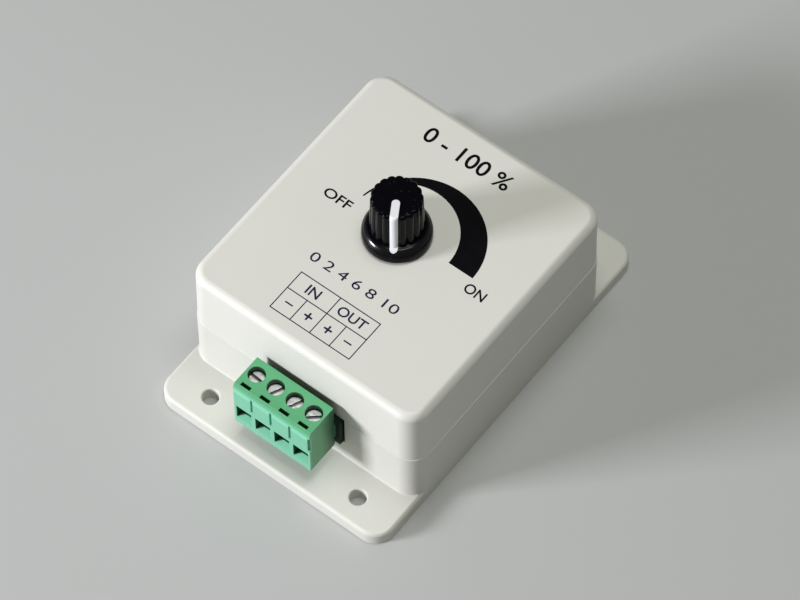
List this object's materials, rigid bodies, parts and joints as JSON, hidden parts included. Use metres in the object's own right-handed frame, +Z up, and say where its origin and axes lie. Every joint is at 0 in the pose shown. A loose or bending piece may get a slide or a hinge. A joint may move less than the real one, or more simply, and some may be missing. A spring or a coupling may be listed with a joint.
{
  "type": "light dimmer",
  "caption": "Low voltage rotary light dimmer in a flanged ivory case, with a fluted black knob and a green pluggable screw terminal.",
  "frame": {"origin": "centre of the underside, on the surface that the flanges rest on", "axes": "+X to the right as seen from the terminals, +Y to the back along the flanges, +Z up along the knob"},
  "size_m": [0.061, 0.091, 0.0499],
  "materials": {
    "case_plastic": "moulded ivory ABS, fine satin",
    "screw_steel": "bright zinc plated steel",
    "board_laminate": "green solder mask on laminate",
    "header_plastic": "dark green moulded",
    "plug_plastic": "green moulded, satin",
    "tinned_pins": "tinned",
    "nickel": "nickel plated",
    "phenolic": "brown laminate",
    "wire_sleeve": "soft sleeve",
    "aluminium": "plain extrusion",
    "black_epoxy": "moulded epoxy",
    "capacitor_sleeve": "shrink sleeve",
    "film_casing": "dipped casing",
    "resistor_coat": "lacquer",
    "knob_black": "gloss black",
    "pointer_white": "white inlay",
    "carrier_plastic": "nylon",
    "contact_brass": "tinned brass"
  },
  "bodies": {
    "case": {"base_shell": "case_plastic", "top_cover": "case_plastic", "case_screws": "screw_steel", "circuit_board": "board_laminate", "board_screws": "screw_steel", "socket_header": "header_plastic", "header_pins": "tinned_pins", "pot_bushing": "nickel", "pot_washer": "nickel", "pot_nut": "nickel", "pot_can": "nickel", "pot_wafer": "phenolic", "pot_lugs": "tinned_pins", "pot_wires": "wire_sleeve", "heat_sink": "aluminium", "transistor_tab": "tinned_pins", "transistor_package": "black_epoxy", "transistor_leads": "tinned_pins", "transistor_screw": "screw_steel", "main_capacitor": "capacitor_sleeve", "small_capacitor": "capacitor_sleeve", "capacitor_leads": "tinned_pins", "film_capacitors": "film_casing", "film_leads": "tinned_pins", "timer_chip": "black_epoxy", "chip_legs": "tinned_pins", "resistors": "resistor_coat", "resistor_leads": "tinned_pins", "flyback_diode": "black_epoxy", "diode_leads": "tinned_pins"},
    "knob_set": {"knob": "knob_black", "knob_pointer": "pointer_white", "pot_shaft": "nickel", "wiper_carrier": "carrier_plastic"},
    "plug_set": {"plug_body": "plug_plastic", "plug_contacts": "contact_brass"},
    "screw_1": {"terminal_screw_1": "screw_steel"},
    "clamp_1": {"wire_clamp_1": "nickel"},
    "screw_2": {"terminal_screw_2": "screw_steel"},
    "clamp_2": {"wire_clamp_2": "nickel"},
    "screw_3": {"terminal_screw_3": "screw_steel"},
    "clamp_3": {"wire_clamp_3": "nickel"},
    "screw_4": {"terminal_screw_4": "screw_steel"},
    "clamp_4": {"wire_clamp_4": "nickel"}
  },
  "joints": [
    {"name": "knob_turn", "type": "hinge", "parent": "case", "child": "knob_set", "pos_m": [-0.0012, 0.0016, 0.0352], "axis": [0, 0, 1], "range_deg": [0, 300]},
    {"name": "plug_slide", "type": "slide", "parent": "case", "child": "plug_set", "axis": [0, -1, 0], "range_m": [0, 0.01]},
    {"name": "screw_1_turn", "type": "hinge", "parent": "plug_set", "child": "screw_1", "pos_m": [-0.00762, -0.0381, 0.0217], "axis": [0, 0, -1], "range_deg": [0, 2160]},
    {"name": "clamp_1_lift", "type": "slide", "parent": "plug_set", "child": "clamp_1", "axis": [0, 0, 1], "range_m": [0, 0.003]},
    {"name": "screw_2_turn", "type": "hinge", "parent": "plug_set", "child": "screw_2", "pos_m": [-0.00254, -0.0381, 0.0217], "axis": [0, 0, -1], "range_deg": [0, 2160]},
    {"name": "clamp_2_lift", "type": "slide", "parent": "plug_set", "child": "clamp_2", "axis": [0, 0, 1], "range_m": [0, 0.003]},
    {"name": "screw_3_turn", "type": "hinge", "parent": "plug_set", "child": "screw_3", "pos_m": [0.00254, -0.0381, 0.0217], "axis": [0, 0, -1], "range_deg": [0, 2160]},
    {"name": "clamp_3_lift", "type": "slide", "parent": "plug_set", "child": "clamp_3", "axis": [0, 0, 1], "range_m": [0, 0.003]},
    {"name": "screw_4_turn", "type": "hinge", "parent": "plug_set", "child": "screw_4", "pos_m": [0.00762, -0.0381, 0.0217], "axis": [0, 0, -1], "range_deg": [0, 2160]},
    {"name": "clamp_4_lift", "type": "slide", "parent": "plug_set", "child": "clamp_4", "axis": [0, 0, 1], "range_m": [0, 0.003]}
  ],
  "couplings": [
    {"joint": "screw_1_turn", "follows": "clamp_1_lift", "rad_per_m": 12566},
    {"joint": "screw_2_turn", "follows": "clamp_2_lift", "rad_per_m": 12566},
    {"joint": "screw_3_turn", "follows": "clamp_3_lift", "rad_per_m": 12566},
    {"joint": "screw_4_turn", "follows": "clamp_4_lift", "rad_per_m": 12566}
  ]
}
